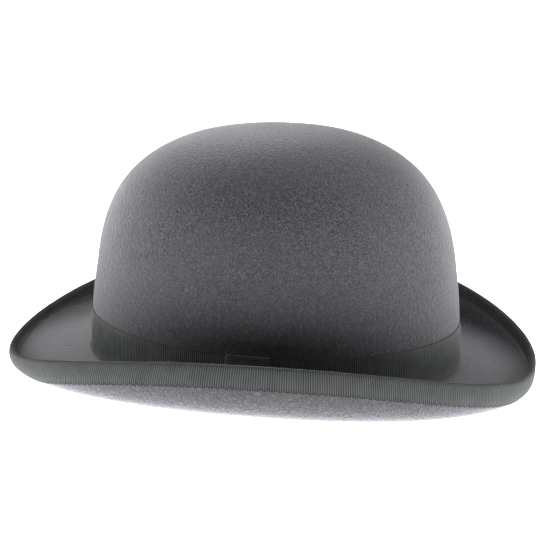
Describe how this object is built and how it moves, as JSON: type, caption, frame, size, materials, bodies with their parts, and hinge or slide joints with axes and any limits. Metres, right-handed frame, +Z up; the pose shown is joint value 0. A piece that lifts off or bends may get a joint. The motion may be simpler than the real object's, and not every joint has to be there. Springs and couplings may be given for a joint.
{
  "type": "bowler hat",
  "caption": "Hard round-crowned felt hat with a curled, ribbon-bound brim, ribbon band and side bow, leather sweatband and satin lining.",
  "frame": {"origin": "on the surface the hat stands on, under the middle of the brim", "axes": "+Z up through the crown, +Y towards the back of the hat, +X towards the wearer's left (the bow's side)"},
  "size_m": [0.2552, 0.2998, 0.1364],
  "materials": {
    "felt": "matte wool felt, fine mottled grain, slight sheen at grazing angles",
    "ribbon": "grosgrain ribbon with fine ribs",
    "binding_ribbon": "grosgrain ribbon folded over the rim",
    "binding_thread": "sewing thread",
    "leather": "smooth leather, satin",
    "reed": "plain rod",
    "tape": "woven tape",
    "leather_thread": "sewing thread",
    "satin": "satin, soft highlights",
    "piping": "satin-covered cord",
    "clear": "clear film",
    "label": "woven label"
  },
  "bodies": {
    "root": {"felt_body": "felt", "hat_band": "ribbon", "bow_knot": "ribbon", "bow_loop_front": "ribbon", "bow_loop_back": "ribbon", "brim_binding": "binding_ribbon", "binding_thread_upper": "binding_thread", "binding_thread_under": "binding_thread", "sweatband": "leather", "sweatband_reed": "reed", "reed_tape": "tape", "sweatband_thread": "leather_thread", "sweatband_bow_left": "ribbon", "sweatband_bow_right": "ribbon", "sweatband_bow_knot": "ribbon", "size_label": "label", "lining_side": "satin", "lining_tip": "satin", "lining_piping": "piping", "tip_shield": "clear", "tip_shield_thread": "leather_thread"}
  },
  "joints": []
}
